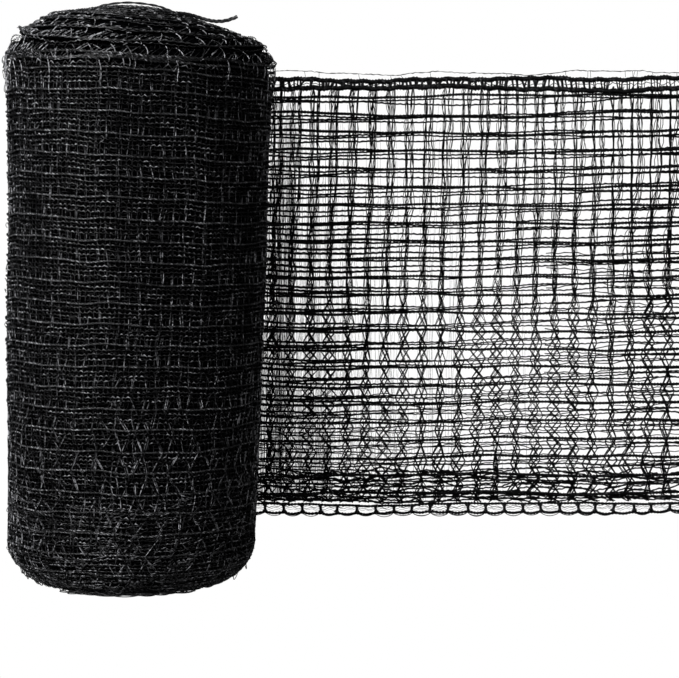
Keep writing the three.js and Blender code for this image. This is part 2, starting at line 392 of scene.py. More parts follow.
def wired(tree, kind, output, inputs, **settings):
    """An output of a new node with these settings and inputs."""
    node = tree.nodes.new(kind)
    for name, value in settings.items():
        setattr(node, name, value)
    feed(node, inputs)
    return node.outputs[output]


def tint(tree, factor, dark, light):
    """A colour from dark to light by a factor."""
    colours = {"Factor": factor, "A": (*dark, 1), "B": (*light, 1)}
    return wired(tree, "ShaderNodeMix", "Result", colours, data_type="RGBA")


def yarn_finish(name="net_yarn", duller=0.0, specular=0.65):
    """Black knitted yarn: the shade attribute goes from dark to light, broken into specks by fine noise, which
    also varies the gloss. Its light end is painted highlight: glints and sheen painted into the colour."""
    if name in bpy.data.materials:
        return bpy.data.materials[name]
    finish = bpy.context.scene.netting_finish
    material, tree = new_material(name)
    rough = finish.roughness + duller
    shade = wired(tree, "ShaderNodeAttribute", "Fac", {}, attribute_name="shade")
    where = wired(tree, "ShaderNodeTexCoord", "Object", {})
    grain = wired(tree, "ShaderNodeTexNoise", "Fac", {"Vector": where, "Scale": 430, "Detail": 3})
    specks = wired(tree, "ShaderNodeMapRange", "Result", {
        "Value": grain, "From Min": 0.43, "From Max": 0.58, "To Min": 0.05, "To Max": 2.1})
    speckled = wired(
        tree, "ShaderNodeMath", "Value", {0: shade, 1: specks}, operation="MULTIPLY", use_clamp=True)
    gloss = wired(tree, "ShaderNodeMapRange", "Result", {
        "Value": grain, "To Min": rough - 0.12, "To Max": rough + 0.12})
    bump = wired(tree, "ShaderNodeBump", "Normal", {"Height": grain, "Strength": 0.25, "Distance": 0.0002})
    feed(tree.nodes["Principled BSDF"], {
        "Base Color": tint(tree, speckled, finish.dark, finish.light), "Roughness": gloss,
        "Specular IOR Level": specular, "Normal": bump})
    return material


def filament_finish():
    """The cross filaments: the same yarn, finer and duller."""
    return yarn_finish("net_filament", duller=0.2, specular=0.012)


def packed_finish():
    """The turns deep in the roll: dark, with fine lines of yarn along the net in some patches and up it in the
    others. The lines are the crests of wavy bands across the lay attribute, a period apart, and their lightness
    is painted highlight."""
    finish = bpy.context.scene.netting_finish
    material, tree = new_material("packed_turns")
    lay = wired(tree, "ShaderNodeAttribute", "Vector", {}, attribute_name="lay")
    patches = wired(tree, "ShaderNodeTexNoise", "Fac", {"Vector": lay, "Scale": 0.16, "Detail": 1})
    own_period, lines = 0.314, []
    for direction, period, low, high in (("Y", 2.9, 0.44, 0.60), ("X", 4.8, 0.56, 0.42)):
        bands = wired(tree, "ShaderNodeTexWave", "Fac", {
            "Vector": lay, "Scale": own_period / period, "Distortion": 3, "Detail": 2, "Detail Scale": 1.6},
            bands_direction=direction)
        crest = wired(tree, "ShaderNodeMapRange", "Result", {"Value": bands, "From Min": 0.86})
        part = wired(tree, "ShaderNodeMapRange", "Result", {
            "Value": patches, "From Min": low, "From Max": high})
        lines.append(wired(tree, "ShaderNodeMath", "Value", {0: crest, 1: part}, operation="MULTIPLY"))
    top = wired(tree, "ShaderNodeMath", "Value", dict(enumerate(lines)), operation="MAXIMUM")
    bump = wired(tree, "ShaderNodeBump", "Normal", {"Height": top, "Strength": 0.8, "Distance": 0.0015})
    feed(tree.nodes["Principled BSDF"], {
        "Base Color": tint(tree, top, finish.shadow, finish.deep), "Roughness": 0.6,
        "Specular IOR Level": 0.004, "Normal": bump})
    return material


class NETTING_OT_stage(bpy.types.Operator):
    """Camera, white floor and paper, and soft lights"""
    bl_idname = "netting.stage"
    bl_label = "Stage"

    def execute(self, context):
        scene, stage = context.scene, context.scene.netting_stage
        camera = bpy.data.cameras.new("camera")
        camera.lens = stage.lens
        eye = bpy.data.objects.new("camera", camera)
        eye.location = stage.eye
        eye.rotation_euler = (pi / 2 - stage.dip, 0, 0)
        context.collection.objects.link(eye)
        scene.camera = eye
        scene.view_settings.view_transform = "Standard"
        paper, tree = new_material("white_paper")
        glow = wired(tree, "ShaderNodeEmission", "Emission", {"Strength": stage.paper})
        feed(tree.nodes["Material Output"], {"Surface": glow})
        bpy.ops.mesh.primitive_plane_add(size=24)
        floor = context.object
        floor.name = "floor"
        bpy.ops.mesh.primitive_uv_sphere_add(segments=48, ring_count=24, radius=14)
        backdrop = context.object
        backdrop.name = "paper_behind"
        for sheet in (floor, backdrop):
            sheet.data.materials.append(paper)
            sheet.visible_diffuse = sheet.visible_glossy = sheet.visible_shadow = False
        aim = Vector((0.05, 0, 0.27))
        for name, place, size, power in (
            ("key_light", (-1.62, -1.68, 1.5), 0.6, stage.key),
            ("fill_light", (1.6, -2.2, 1.4), 0.7, stage.fill),
        ):
            light = bpy.data.lights.new(name, "AREA")
            light.size = size
            light.energy = power
            lamp = bpy.data.objects.new(name, light)
            lamp.location = place
            lamp.rotation_euler = (aim - Vector(place)).to_track_quat("-Z", "Y").to_euler()
            context.collection.objects.link(lamp)
        world = bpy.data.worlds.new("room")
        world.use_nodes = True
        feed(world.node_tree.nodes["Background"], {"Color": (1, 1, 1, 1), "Strength": stage.room})
        scene.world = world
        return {"FINISHED"}


class NETTING_OT_selvedge_tail(bpy.types.Operator):
    """The loose end of selvedge that pokes out on top of the roll"""
    bl_idname = "netting.selvedge_tail"
    bl_label = "Selvedge tail"

    def execute(self, context):
        line = smooth_path(TAIL_ROUTE, 90)
        length = float(np.linalg.norm(np.diff(line, axis=0), axis=1).sum())
        sides = 12
        made = strands(line[None], TAIL_THICK / 2, UP, 0.04, sides)
        # Three plies: the radius falls by about a fifth in three grooves that wind around the tail
        along = np.repeat(np.linspace(0, length, len(line)), sides)
        around = np.tile(TAU * np.arange(sides) / sides, len(line))
        groove = 0.9 + 0.13 * cos(3 * (around - TAU * along / TAIL_TWIST))
        centre = np.repeat(line, sides, axis=0)
        points = centre + (made[0] - centre) * groove[:, None]
        tail = piece("selvedge_tail_strand", [(points, *made[1:])], yarn_finish())
        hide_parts("selvedge_tail")
        return {"FINISHED"}


# How far each layer of the loose end stands towards the front, how far its columns have slid in the upper part
# and lower down, which layers lean the other way, and how far its rows have dropped against the front layer's,
# by the front layer's rows
LAYER_NAMES = ["front", "second", "third", "back"]
LAYER_OUT = [3.2, 1.2, -1.2, -3.0]
LAYER_SLIDE = [0, 0.8, 5.8, 6.8]
LAYER_SETTLED = [0, 1.5, -1.2, 2]
LAYER_TURNED = [0, 1, 0, 0]
DROP_ROWS = [-1, 0, 8, 9, 15, 17, 21]
LAYER_DROPS = [
    [0, 0, 0, 0, 0, 0, 0],
    [3.2, 4, 6, 9, 9.5, 5, 2.4],
    [7, 8, 10.5, 12.4, 12.5, 9.5, 4.8],
    [19, 19.2, 17.5, 15, 15.2, 14, 7.2],
]
SHEET_ROWS = np.arange(-1, 22)[:, None]
SLOT_TOP = 59.5

# At the far end: by what share the layers' drops are less, how far their columns slide and fan out, and how far
# the lower rope drops
FAR_CLOSER = [0, 0.25, 0.5, 0.15]
FAR_SLIDE = [0, 0.6, 9.0, 10.5]
FAR_FAN = [0.6, 0.6, 2.0, 2.0]
FAR_ROPES = 3.5


def far_end(u):
    """How near the loose end's far end a place is, from 0 to 1."""
    return ramp(u, 330, 500)


def crowding(u, v):
    """How thick the loose end's strands lie, from 0 to 1: beside the roll, above the fold and at the far end."""
    ends = np.maximum(1 - ramp(u, 170, 260), ramp(u, 430, 530))
    return np.maximum(ends, 1 - ramp(v, 88, 130))


def sheet_height(layer, row, u):
    """A row's height along the loose end: even steps down, less the layer's drop, plus waves that drift from row
    to row. The drops are smaller at the far end, and above the fold the layers' rows are spread evenly."""
    even = SHEET_TOP_ROW - SHEET_PITCH * row
    close = 1 - ramp(even, 88, 130)
    spread = np.interp(row, [19, 21], [4.6, 2.4]) * layer
    drop = np.interp(row, DROP_ROWS, LAYER_DROPS[layer]) * (1 - FAR_CLOSER[layer] * far_end(u))
    drop = drop * (1 - close) + spread * close
    return even - drop + drift(u, row, 40 + layer, [420, 150, 67], [1.6, 0.7, 0.35])


def sheet_knots(layer, mesh):
    """Where the columns of a layer cross its rows: even columns, slid against the other layers' in the upper part,
    and leaning to and fro from row to row in the lower."""
    row = np.arange(len(SHEET_ROWS) + 2)[:, None]
    heights = np.vstack([ROPE_HEIGHTS[1], SHEET_TOP_ROW - SHEET_PITCH * SHEET_ROWS, SLOT_TOP])
    even = mesh * (np.arange(int(SHEET_LENGTH / mesh)) + 0.5) + 0 * heights
    high = ramp(heights, 320, 400)
    far = far_end(even)
    slide = LAYER_SLIDE[layer] * (1 - far) + FAR_SLIDE[layer] * far
    slide = slide * high + LAYER_SETTLED[layer] * (1 - high)
    lean = 0.6 + 4.4 * (1 - ramp(heights, 220, 320))
    lean = lean * (1 + drift(even, row, 110, [210, 83], [0.3, 0.3]))
    sway = (1 - 2 * ((row + LAYER_TURNED[layer]) % 2)) * lean
    u = even + slide + sway + default_rng(90 + layer).normal(0, 0.6, even.shape)
    u += drift(u, row, 70 + layer, [260, 110], [1.2, 0.6])
    u = np.clip(u, 0.5, SHEET_LENGTH - 0.5)
    ends = 0 * u[0]
    return u, np.vstack([ROPE_HEIGHTS[1] + ends, sheet_height(layer, SHEET_ROWS, u[1:-1]), SLOT_TOP + ends])


def sheet_layer(layer, size):
    """One layer of the loose end. The front layer's rows are chains of two plies, and the others' are plainer,
    and thicker beside the roll."""
    stitch, thin = size.stitch / MM, size.filament / MM / 2
    out, seed = LAYER_OUT[layer], size.seed + layer
    u = np.arange(0, SHEET_LENGTH, stitch / 2 if layer == 0 else stitch) + 0 * SHEET_ROWS
    v = sheet_height(layer, SHEET_ROWS, u)
    swell = 1 + 0.25 * crowding(u, v)
    if layer == 0:
        yarn = 1.1 * size.chain_yarn / MM / 2 * swell
        parts = twisted_rows(on_sheet, u, v, out, SHEET_ROWS, stitch, seed, yarn)
    else:
        beside = (1 - ramp(u, 190, 330)) * ramp(v, 120, 170) * (1 - ramp(v, 300, 350))
        thick = (0.74 + 0.2 * ramp(v, 240, 320) + 0.32 * beside) * swell
        parts = looped_rows(on_sheet, u, v, out, SHEET_ROWS, seed, thick, swing=0.28)
    knots_u, knots_v = sheet_knots(layer, size.mesh / MM)
    fan = np.interp(knots_v, [230, 300, 340, 400], [0.6, 1.2, 1.5, 1.0])
    fan += (FAR_FAN[layer] - fan) * far_end(knots_u) * ramp(knots_v, 260, 330)
    return parts + bundles(on_sheet, knots_u, knots_v, out, seed + 20,
                           lambda u, v: thin * (1 + 0.2 * crowding(u, v)), count=3, fan=fan)


def top_selvedge(rng, stitch):
    """The selvedge along the top: two ropes with bars and a slack line between, and a thin looped line above
    them with hairs down to the upper rope."""
    u = np.arange(0, SHEET_LENGTH, stitch / 2)[None]
    upper, lower = ROPE_HEIGHTS
    parts = []
    for k, height in enumerate(ROPE_HEIGHTS):
        v = height + drift(u, k, 140, [300, 120, 50, 17], [1.2, 0.7, 0.4, 0.5]) - FAR_ROPES * k * far_end(u)
        parts += twisted_rows(on_sheet, u, v, ROPE_OUT, k, stitch, 150 + k, yarn=1.85 + 0.2 * k,
                              tall=1.25, deep=0.8)
    t = np.linspace(0, 1, 4)
    place = np.cumsum(rng.uniform(2.2, 6.0, 200))
    place = place[place < SHEET_LENGTH - 4][:, None]
    bar_u = place + rng.normal(0, 1.8, place.shape) * t
    bar_v = upper + (lower - upper - FAR_ROPES * far_end(place)) * t
    thick = rng.uniform(0.6, 1.6, place.shape) * (1 + 0.7 * np.abs(2 * t - 1)) * (1 - 0.55 * far_end(bar_u))
    slack = np.arange(0, SHEET_LENGTH, 3.1)[None]
    middle = upper - 4.5 - 0.4 * FAR_ROPES * far_end(slack) + rng.normal(0, 1.0, slack.shape)
    fine = np.arange(0, SHEET_LENGTH, 2.5)[None]
    above = upper + 6.5 + drift(fine, 0, 160, [150, 71, 33], [1.5, 0.7, 0.3])
    above += rng.normal(0, 0.22, fine.shape)
    looped = rng.uniform(0.22, 0.62, fine.shape)
    hairs = 26
    hair = rng.integers(4, fine.shape[1] - 4, (hairs, 1))
    hair_u = fine[0, hair] + rng.normal(0, 1.5, hair.shape) * t
    hair_v = above[0, hair] * (1 - t) + (upper + 1) * t
    return parts + [laid(on_sheet, *line) for line in (
        (bar_u, bar_v, ROPE_OUT, thick, 0.02), (slack, middle, ROPE_OUT, 0.45, 0.02),
        (fine, above, ROPE_OUT - 0.2, looped, 0.0), (hair_u, hair_v, ROPE_OUT - 0.2, 0.24, 0.0))]


def veil(rng):
    """The veil of slack filaments of the layers behind: close together beside the roll, and behind it. Each rises
    from the fold, leans and sways, and ends at a random height."""
    beside, behind = 440, 380
    near = 128 + np.minimum(rng.exponential(52, beside), 260)
    u = np.append(near, rng.uniform(10, 132, behind))[:, None]
    thick = np.repeat([0.11, 0.17], [beside, behind])[:, None]
    share = rng.random(u.shape)
    high = np.where(u < 148, 462 - 150 * share**1.6, 130 + 330 * share**1.5)
    t = np.linspace(0, 1, 5)
    u = u + rng.normal(0, 12, u.shape) * (t - 0.5) + rng.normal(0, 2, (len(u), len(t)))
    return [laid(on_sheet, u, 60 + (high - 60) * t, -3.6, thick, 0.0)]


def fold(rng, stitch):
    """The fold along the bottom: two chains with ties and slack lines between, and slack loops below. The lower
    chain sags from tie to tie as a squared sine."""
    u = np.arange(0, SHEET_LENGTH, stitch / 2)[None]
    upper, lower = FOLD_HEIGHTS
    parts = []
    for k, height in enumerate(FOLD_HEIGHTS):
        v = height + drift(u, k, 170, [330, 140, 40], [0.8, 0.6, 0.3])
        v -= 1.2 * k * sin(pi * (u - FIRST_TIE) / TIE_PITCH) ** 2
        parts += twisted_rows(on_sheet, u, v, FOLD_OUT, k, stitch, 180 + k, yarn=0.9 + 0.15 * k,
                              tall=0.75, deep=0.5)
    ties = np.arange(FIRST_TIE, SHEET_LENGTH - 4, TIE_PITCH)[:, None]
    ties += rng.normal(0, 0.5, ties.shape)
    t = np.linspace(0, 1, 4)
    tie_u = ties + rng.normal(0, 0.8, ties.shape) * t
    tie_v = upper + (lower - upper) * t
    parts.append(laid(on_sheet, tie_u, tie_v, FOLD_OUT, 1.6 + 2.2 * (2 * t - 1) ** 4, 0.02))
    row = np.arange(3)[:, None]
    slack = np.arange(0, SHEET_LENGTH, 2.7) + 0 * row
    v = upper - 2.2 - 1.7 * row + drift(slack, 3 * row, 185, [60, 23, 9], [0.5, 0.5, 0.7])
    parts.append(laid(on_sheet, slack, v, 0.2, np.interp(row, [0, 2], [0.36, 0.2]), 0.02))
    t = np.linspace(0, 1, 9)
    loop_u = ties[:-1] * (1 - t) + ties[1:] * t
    for back in range(2):
        loop_v = lower - rng.uniform(1.5, 4.2, (len(loop_u), 1)) * sin(pi * t) ** 0.7
        parts.append(laid(on_sheet, loop_u, loop_v, FOLD_OUT - back, 0.42, 0.02))
    return parts


def slack_rows(stitch):
    """Rows that have slid down and lie in a heap on the fold, and fine slack rows between the others: low down all
    along, and higher up at the far end."""
    row = np.arange(10)[:, None]
    u = np.arange(0, SHEET_LENGTH, stitch) + 0 * row
    v = 61.4 + 3.2 * row + drift(u, 5 * row, 200, [140, 52, 23], [2.5, 1.4, 0.7])
    parts = looped_rows(on_sheet, u, v, 1.5 - 0.4 * row, row, 201, 1.05 - 0.15 * ramp(u, 150, 420))
    for first, last, start, thick in ((0, 10, 0, 0.52), (10, 26, 400, 0.6)):
        row = np.arange(first, last)[:, None]
        u = np.arange(start, SHEET_LENGTH, 2 * stitch) + 0 * row
        v = 98 + 8.4 * row + drift(u, 5 * row, 210, [190, 71, 31], [2.2, 1.2, 0.6])
        parts += looped_rows(on_sheet, u, v, -2.2, row, 211, thick)
    return parts


class NETTING_OT_loose_end(bpy.types.Operator):
    """The four layers of the folded loose end, with the selvedge along the top and the fold along the bottom"""
    bl_idname = "netting.loose_end"
    bl_label = "Loose end"

    def execute(self, context):
        size = context.scene.netting_sizes
        finish = yarn_finish("loose_end_yarn", duller=0.2, specular=0.1)
        for layer, name in enumerate(LAYER_NAMES):
            made = piece(f"loose_end_{name}_layer", sheet_layer(layer, size), finish)
            if layer == 0:
                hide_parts("loose_end")
        rng, stitch = default_rng(size.seed + 50), size.stitch / MM
        parts = top_selvedge(rng, stitch) + veil(rng) + fold(rng, stitch) + slack_rows(stitch)
        piece("loose_end_edges", parts, finish)
        return {"FINISHED"}


class NETTING_OT_packed_turns(bpy.types.Operator):
    """The dark mass of turns inside the roll"""
    bl_idname = "netting.packed_turns"
    bl_label = "Packed turns"

    def execute(self, context):
        # Rings, each with its place up the net: on the floor, up the band, over the dome and in the eye
        sectors, inset = 96, 1.6
        turn = np.linspace(0, 1, sectors + 1)
        u = TURN_LENGTH * turn
        rings = [(wound(turn, radius, z), radius - 110) for radius, z in ((45, 0.5), (72, 0.8), (80, 1.6))]
        rings += [(on_roll(u, v, -inset), v) for v in np.arange(-8, 486, 9.5)]
        for radius in (124, 118, 110, 100, 90, 78, 64, 50, 36, 24):
            inner = radius - TURN_STEP * turn * np.clip((radius - 24) / 100, 0, 1)
            rings.append((wound(turn, inner - 3, dome(turn, inner) - 2.5), 620 - radius))
        rings.append((wound(turn, 15, 510), 640))
        points, levels = zip(*rings)
        index = np.arange(len(rings) * len(turn)).reshape(len(rings), len(turn))
        here, there = index[:-1], index[1:]
        quads = np.stack([here, np.roll(here, -1, 1), np.roll(there, -1, 1), there], -1).reshape(-1, 4)

        def fan(ring, hub):
            return np.stack([ring, np.roll(ring, -1), np.full(len(ring), hub)], -1)
        caps = np.concatenate([fan(index[0][::-1], index.size), fan(index[-1], index.size + 1)])
        points = np.concatenate([*points, [[0, 0, 0.5]], wound(0, 0, np.array([508.0]))])
        core = piece("packed_turns", [(points, quads, caps, np.zeros(len(points)))], packed_finish())
        lay = np.zeros(points.shape, np.float32)
        lay[:-2, 0] = np.tile(u, len(rings))
        lay[:-2, 1] = np.repeat(levels, len(turn))
        core.data.attributes.new("lay", "FLOAT_VECTOR", "POINT").data.foreach_set("vector", lay.ravel())
        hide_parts("net_roll")
        return {"FINISHED"}


ROLL_PITCH = 19.0
ROLL_ROWS = np.arange(-17, 480, ROLL_PITCH)[:, None]
ROLL_LENGTH = 1.03 * TURN_LENGTH

# The layers that show on the outside of the roll: how far out each stands, how far its rows have dropped and its
# columns slid against the outermost layer's, and its filaments to a bundle
ROLL_LAYERS = [
    ("outer_turn", 1.2, 0, 0, 2),
    ("second_turn", 0.8, 4.5, 9.5, 2),
    ("third_turn", 0.4, 8.8, 1.2, 2),
    ("fourth_turn", 0.0, 12.9, 10.7, 1),
]


def roll_height(layer, row, drop, u):
    """A row's height up the section along the wound net: even steps, less the drop, plus waves that drift from row
    to row, and the layer's own smaller ones."""
    shared = drift(u, row, 240, [380, 130, 57], [1.4, 0.6, 0.4])
    return ROLL_ROWS[row[:, 0]] - drop + shared + drift(u, row, 250 + layer, [90, 37], [0.5, 0.3])


def upright_painted_light(u, v):
    """How much painted highlight an upright gets: a bell curve that is light in the dark strip above each main
    row, with painted shade where the other rows cross it. Low on the roll the strip is higher and wider, and the
    rest of the upright less dim."""
    above = ((v - ROLL_ROWS[0, 0]) % ROLL_PITCH) / ROLL_PITCH
    low = 1 - ramp(v, 110, 190)
    bell = exp(-(((above - 0.18 - 0.2 * low) / (0.16 + 0.09 * low)) ** 2))
    return 0.15 + 0.3 * low + (0.85 - 0.35 * low) * bell


def roll_knots(layer, drop, slide, mesh):
    """Where the columns of a layer of the wound net cross its rows: even columns that lean to and fro from row to
    row, little in the upper part, and much and unevenly in the lower."""
    row = np.arange(len(ROLL_ROWS))[:, None]
    even = mesh * (np.arange(int(ROLL_LENGTH / mesh)) + 0.5) + slide + 0 * ROLL_ROWS
    low = 1 - ramp(ROLL_ROWS, 90, 260)
    sway = (1 - 2 * ((row + layer) % 2)) * (0.6 + 3.6 * low)
    u = even + sway + default_rng(190 + layer).normal(0, 1, even.shape) * (0.6 + 1.1 * low)
    u += drift(u, row, 270, [310, 120], [2.5, 1.2])
    u += low * drift(u, 7 * row, 290 + layer, [230, 97], [4, 3])
    u = np.clip(u, 0, ROLL_LENGTH)
    return u, roll_height(layer, row, drop, u)


def rim(size, along):
    """The selvedge at the top of the outer turn: two thick chains, a slack looped line below them, and
    ticks down to the top row, lightened by painted highlights."""
    u, slack = along[None], along[None, ::2]
    parts = []
    for k, height in enumerate((486, 491)):
        v = height + drift(u, k, 330, [300, 120, 50], [0.8, 0.5, 0.4])
        parts += twisted_rows(on_roll, u, v, 1.0, k, size.stitch / MM, 331 + k, yarn=0.6, tall=1.0,
                              deep=0.5, glint=0.42)
    v = 481.5 + drift(slack, 2, 335, [90, 41], [0.8, 0.8])
    parts += looped_rows(on_roll, slack, v, 1.2, 2, 336, thick=0.5, swing=1.8, glint=0.45)
    rng = default_rng(size.seed + 340)
    place = np.cumsum(rng.uniform(4, 17, 140))
    place = place[place < ROLL_LENGTH - 6][:, None]
    t = np.linspace(0, 1, 5)
    tick_u = place + rng.normal(1.0, 1.8, place.shape) * t + 1.2 * sin(pi * t)
    tick_v = rng.uniform(487, 494, place.shape) - rng.uniform(6, 15, place.shape) * t
    # Painted highlights on the ticks
    bright = np.clip(rng.normal(0.3, 0.4, place.shape), 0.02, 1)
    return parts + [laid(on_roll, tick_u, tick_v, 1.6 + 0.5 * sin(pi * t), 0.42, bright)]


def sunk_rows(size):
    """Fine rows close together low on the roll, where the net has sunk down."""
    row = np.arange(16)[:, None]
    u = np.arange(0, ROLL_LENGTH, 0.9 * size.stitch / MM) + 0 * row
    v = -16 + 6.6 * row + drift(u, row, 350, [380, 130, 57], [1.8, 1.0, 0.5])
    return looped_rows(on_roll, u, v, 1.4, row, 352, thick=0.38, swing=0.5, glint=0.3)


class NETTING_OT_outer_turns(bpy.types.Operator):
    """The layers of net that show on the outside of the roll"""
    bl_idname = "netting.outer_turns"
    bl_label = "Outer turns"

    def execute(self, context):
        size = context.scene.netting_sizes
        stitch, thin = size.stitch / MM, 1.1 * size.filament / MM / 2
        row = np.arange(len(ROLL_ROWS))[:, None]
        for layer, (name, out, drop, slide, count) in enumerate(ROLL_LAYERS):
            seed = size.seed + 200 + layer
            along = np.arange(0, ROLL_LENGTH, stitch * (0.6 if layer == 0 else 0.73))
            u = along + 0 * row
            v = roll_height(layer, row, drop, u)
            if layer == 0:
                chains = twisted_rows(on_roll, u, v, out, row, stitch, seed, yarn=0.48, tall=0.75, deep=0.5,
                                      dull=0.03, glint=0.46)
                chains += rim(size, along) + sunk_rows(size)
            else:
                chains = looped_rows(on_roll, u, v, out, row, seed, thick=0.5, swing=0.8, glint=0.34)
            piece(f"{name}_chains", chains, yarn_finish())
            # The uprights lie behind the rows, and stand out and close together low on the roll
            knots_u, knots_v = roll_knots(layer, drop, slide, size.mesh / MM)
            depth = out - 1.5 + 1.5 * (1 - ramp(knots_v, 110, 250))
            fan = 0.7 + 0.15 * ramp(knots_v, 110, 220)
            # Painted highlights on the uprights, less on each layer further in
            lines = bundles(on_roll, knots_u, knots_v, depth, seed + 20, thin, count, fan,
                            shade=0.31 - 0.06 * layer, light=upright_painted_light)
            piece(f"{name}_filaments", lines, filament_finish())
        return {"FINISHED"}


# The coil of the selvedges: the outermost one's radius, how far it hangs over the edge, the hollow in the middle,
# and the turns and length of the coil
COIL_RADIUS = TOP_RADIUS - 4
HANG = 0.8
EYE_RADIUS = 18
COIL_TURNS = (COIL_RADIUS - EYE_RADIUS) / TURN_STEP
COIL_LENGTH = TAU * (COIL_RADIUS * COIL_TURNS - TURN_STEP * COIL_TURNS**2 / 2)


def stood_up(turn, radius):
    """How far the selvedges stand up at the shoulder: a bump on the left, around a quarter of each turn, and one on
    the right, around three quarters."""
    left = 10 * exp(-(((turn % 1) - 0.26) / 0.08) ** 2 - ((radius - 118) / 8) ** 2)
    right = 8 * exp(-(((turn % 1) - 0.74) / 0.08) ** 2 - ((radius - 108) / 12) ** 2)
    return left + right


def dome(turn, radius):
    """Height of the dome's ropes: the dome's curve, which the outer turns leave to hang over the edge, most at the
    edge and not at all four turns in."""
    hang = HANG * (1 - ramp((COIL_RADIUS - radius) / TURN_STEP, 0.6, 4.2))
    return np.interp(radius + 3.5 * hang, DOME_RADIUS, DOME_HEIGHT) - 4.5 * hang + stood_up(turn, radius)


def on_coil(s, up, out):
    """A point at a length s along the coil: up along the dome, in half heights of the selvedge, and out of it.
    The radius falls by one step each turn, and the height is the dome's."""
    turn = (COIL_RADIUS - np.sqrt(COIL_RADIUS**2 - TURN_STEP * s / pi)) / TURN_STEP
    radius = COIL_RADIUS - TURN_STEP * turn
    slope = (dome(turn, radius - 3) - dome(turn, radius + 3)) / 6
    radius += 0.8 * sin(TAU * s / 97) + 0.5 * sin(TAU * s / 61)
    long = np.sqrt(1 + slope**2)
    half = np.clip(TURN_STEP * long / 2.05, 4, 8.6)
    up, out = up * half / long, (out + ramp(turn, 0.6, 2)) / long
    return wound(turn, radius - up + out * slope, dome(turn, radius) + up * slope + out)


def painted_coil_light(s, inner=0.5, turns=(0.15, 0.6), right=0.75, sides=(-50, 70)):
    """Painted light on the coil: how light the yarn is painted, less by the share inner in the inner turns, and
    with painted shade by the share right on the right. Both begin and end at the two places given."""
    fewer = 1 - inner * ramp(s / COIL_LENGTH, *turns)
    return fewer * (1 - right * ramp(on_coil(s, 0, 0)[..., 0], *sides))


def coil_ropes():
    """The dark inside of the selvedges: four plies around each other, a little unevenly."""
    s = np.linspace(0, COIL_LENGTH, int(COIL_LENGTH / 5))[None]
    plies, twist = 4, 46
    parts = []
    for ply in range(plies):
        phase = TAU * (s / twist + ply / plies) + 0.5 * sin(TAU * s / 211 + ply)
        parts.append(laid(on_coil, s, 0.62 * cos(phase), 0.5 * sin(phase) - 0.8, 2.1, 0.0))
    return parts


def coil_strands(rng, size):
    """The selvedges' strands with painted highlights: slanted strokes of yarn over the ropes, fewer in the inner
    turns, chains along both edges, ticks across at each mesh, and short dashes strewn over them."""
    # Slanted strokes
    place = np.cumsum(rng.uniform(3.4, 5.2, int(COIL_LENGTH / 3.4)))
    kept = rng.random(len(place)) > 0.65 * ramp(place / COIL_LENGTH, 0.2, 0.5)
    place = place[kept & (place < COIL_LENGTH - 12)][:, None]
    t = np.linspace(-1, 1, 4)
    s = np.clip(place + rng.uniform(2.4, 5, place.shape) * t, 0, COIL_LENGTH)
    up = rng.normal(0, 0.22, place.shape) + rng.uniform(0.2, 0.62, place.shape) * t
    out = rng.uniform(1.7, 2.3, place.shape) - 0.6 * t**2
    # Painted highlights on the strokes, with the painted coil light
    shade = painted_coil_light(place) * (0.02 + 0.98 * rng.random(place.shape) ** 3)
    parts = [laid(on_coil, s, up, out, 0.4, shade)]
    # Chains
    s = np.arange(0, COIL_LENGTH, 1.1 * size.stitch / MM)[None]
    side = 1 - 2 * (np.arange(s.shape[1]) % 2)
    for height, out in ((-1.0, 2.9), (-0.78, 2.5), (0.98, 2.6)):
        wave = height + 0.06 * side + 0.08 * sin(TAU * s / 83 + 2 * np.sign(height))
        shade = painted_coil_light(s) * np.where(side > 0, 0.08 + 0.92 * rng.random(s.shape) ** 3, 0.02)
        parts.append(laid(on_coil, s, wave, out + 0.25 * side, 0.46 + 0.06 * side, shade))
    # Ticks
    place = np.arange(10, COIL_LENGTH - 10, 17)[:, None]
    place += rng.normal(0, 2.5, place.shape)
    t = np.linspace(-1.2, 1.1, 6)
    s = place + rng.normal(-1.2, 1.4, place.shape) * t + 1.6 * (1 - t**2 / 1.7)
    up = rng.uniform(0.35, 0.75, place.shape) * t + rng.normal(0, 0.3, place.shape)
    shade = np.clip(rng.normal(0.6, 0.4, place.shape), 0.05, 1)
    shade *= painted_coil_light(place, 0.6, (0.3, 0.7), 0.45, (20, 90))
    parts.append(laid(on_coil, s, up, 2.9 - 0.6 * t**2, 0.45, shade))
    # Dashes
    dashes = 260
    place = rng.uniform(10, COIL_LENGTH - 10, (dashes, 1))
    t = np.linspace(-1, 1, 3)
    s = place + rng.uniform(1.5, 4.5, place.shape) * t
    up = rng.uniform(-1, 1, place.shape) + rng.normal(0, 0.2, place.shape) * t
    shade = rng.uniform(0, 0.9, place.shape) ** 2
    return parts + [laid(on_coil, s, up, 2.4 - 0.5 * t**2, 0.42, shade)]


def high_loop():
    """The loop of two plies that stands up over the eye, where a selvedge has come loose."""
    line = smooth_path([(-34, -22, 536.4), (-23, -25, 541), (0, -26, 543.4), (24, -25, 541), (38, -24, 536.6),
                        (47, -23, 532.5), (54, -21, 528.8)], 60)
    around = TAU * np.linspace(0, 6, len(line))
    parts = []
    for half in (0, pi):
        sway = np.stack([0 * around, 0.5 * sin(around + half), 0.5 * cos(around + half)], -1)
        parts.append(strands((line + sway)[None], 0.75, (0, 1, 0), 0.03))
    return parts


class NETTING_OT_selvedge_coil(bpy.types.Operator):
    """The selvedge of each turn, standing out on top of the roll in a coil"""
    bl_idname = "netting.selvedge_coil"
    bl_label = "Selvedge coil"

    def execute(self, context):
        size = context.scene.netting_sizes
        rng = default_rng(size.seed + 300)
        piece("selvedge_ropes", coil_ropes(), filament_finish())
        piece("selvedge_coil", coil_strands(rng, size) + high_loop(), yarn_finish())
        return {"FINISHED"}


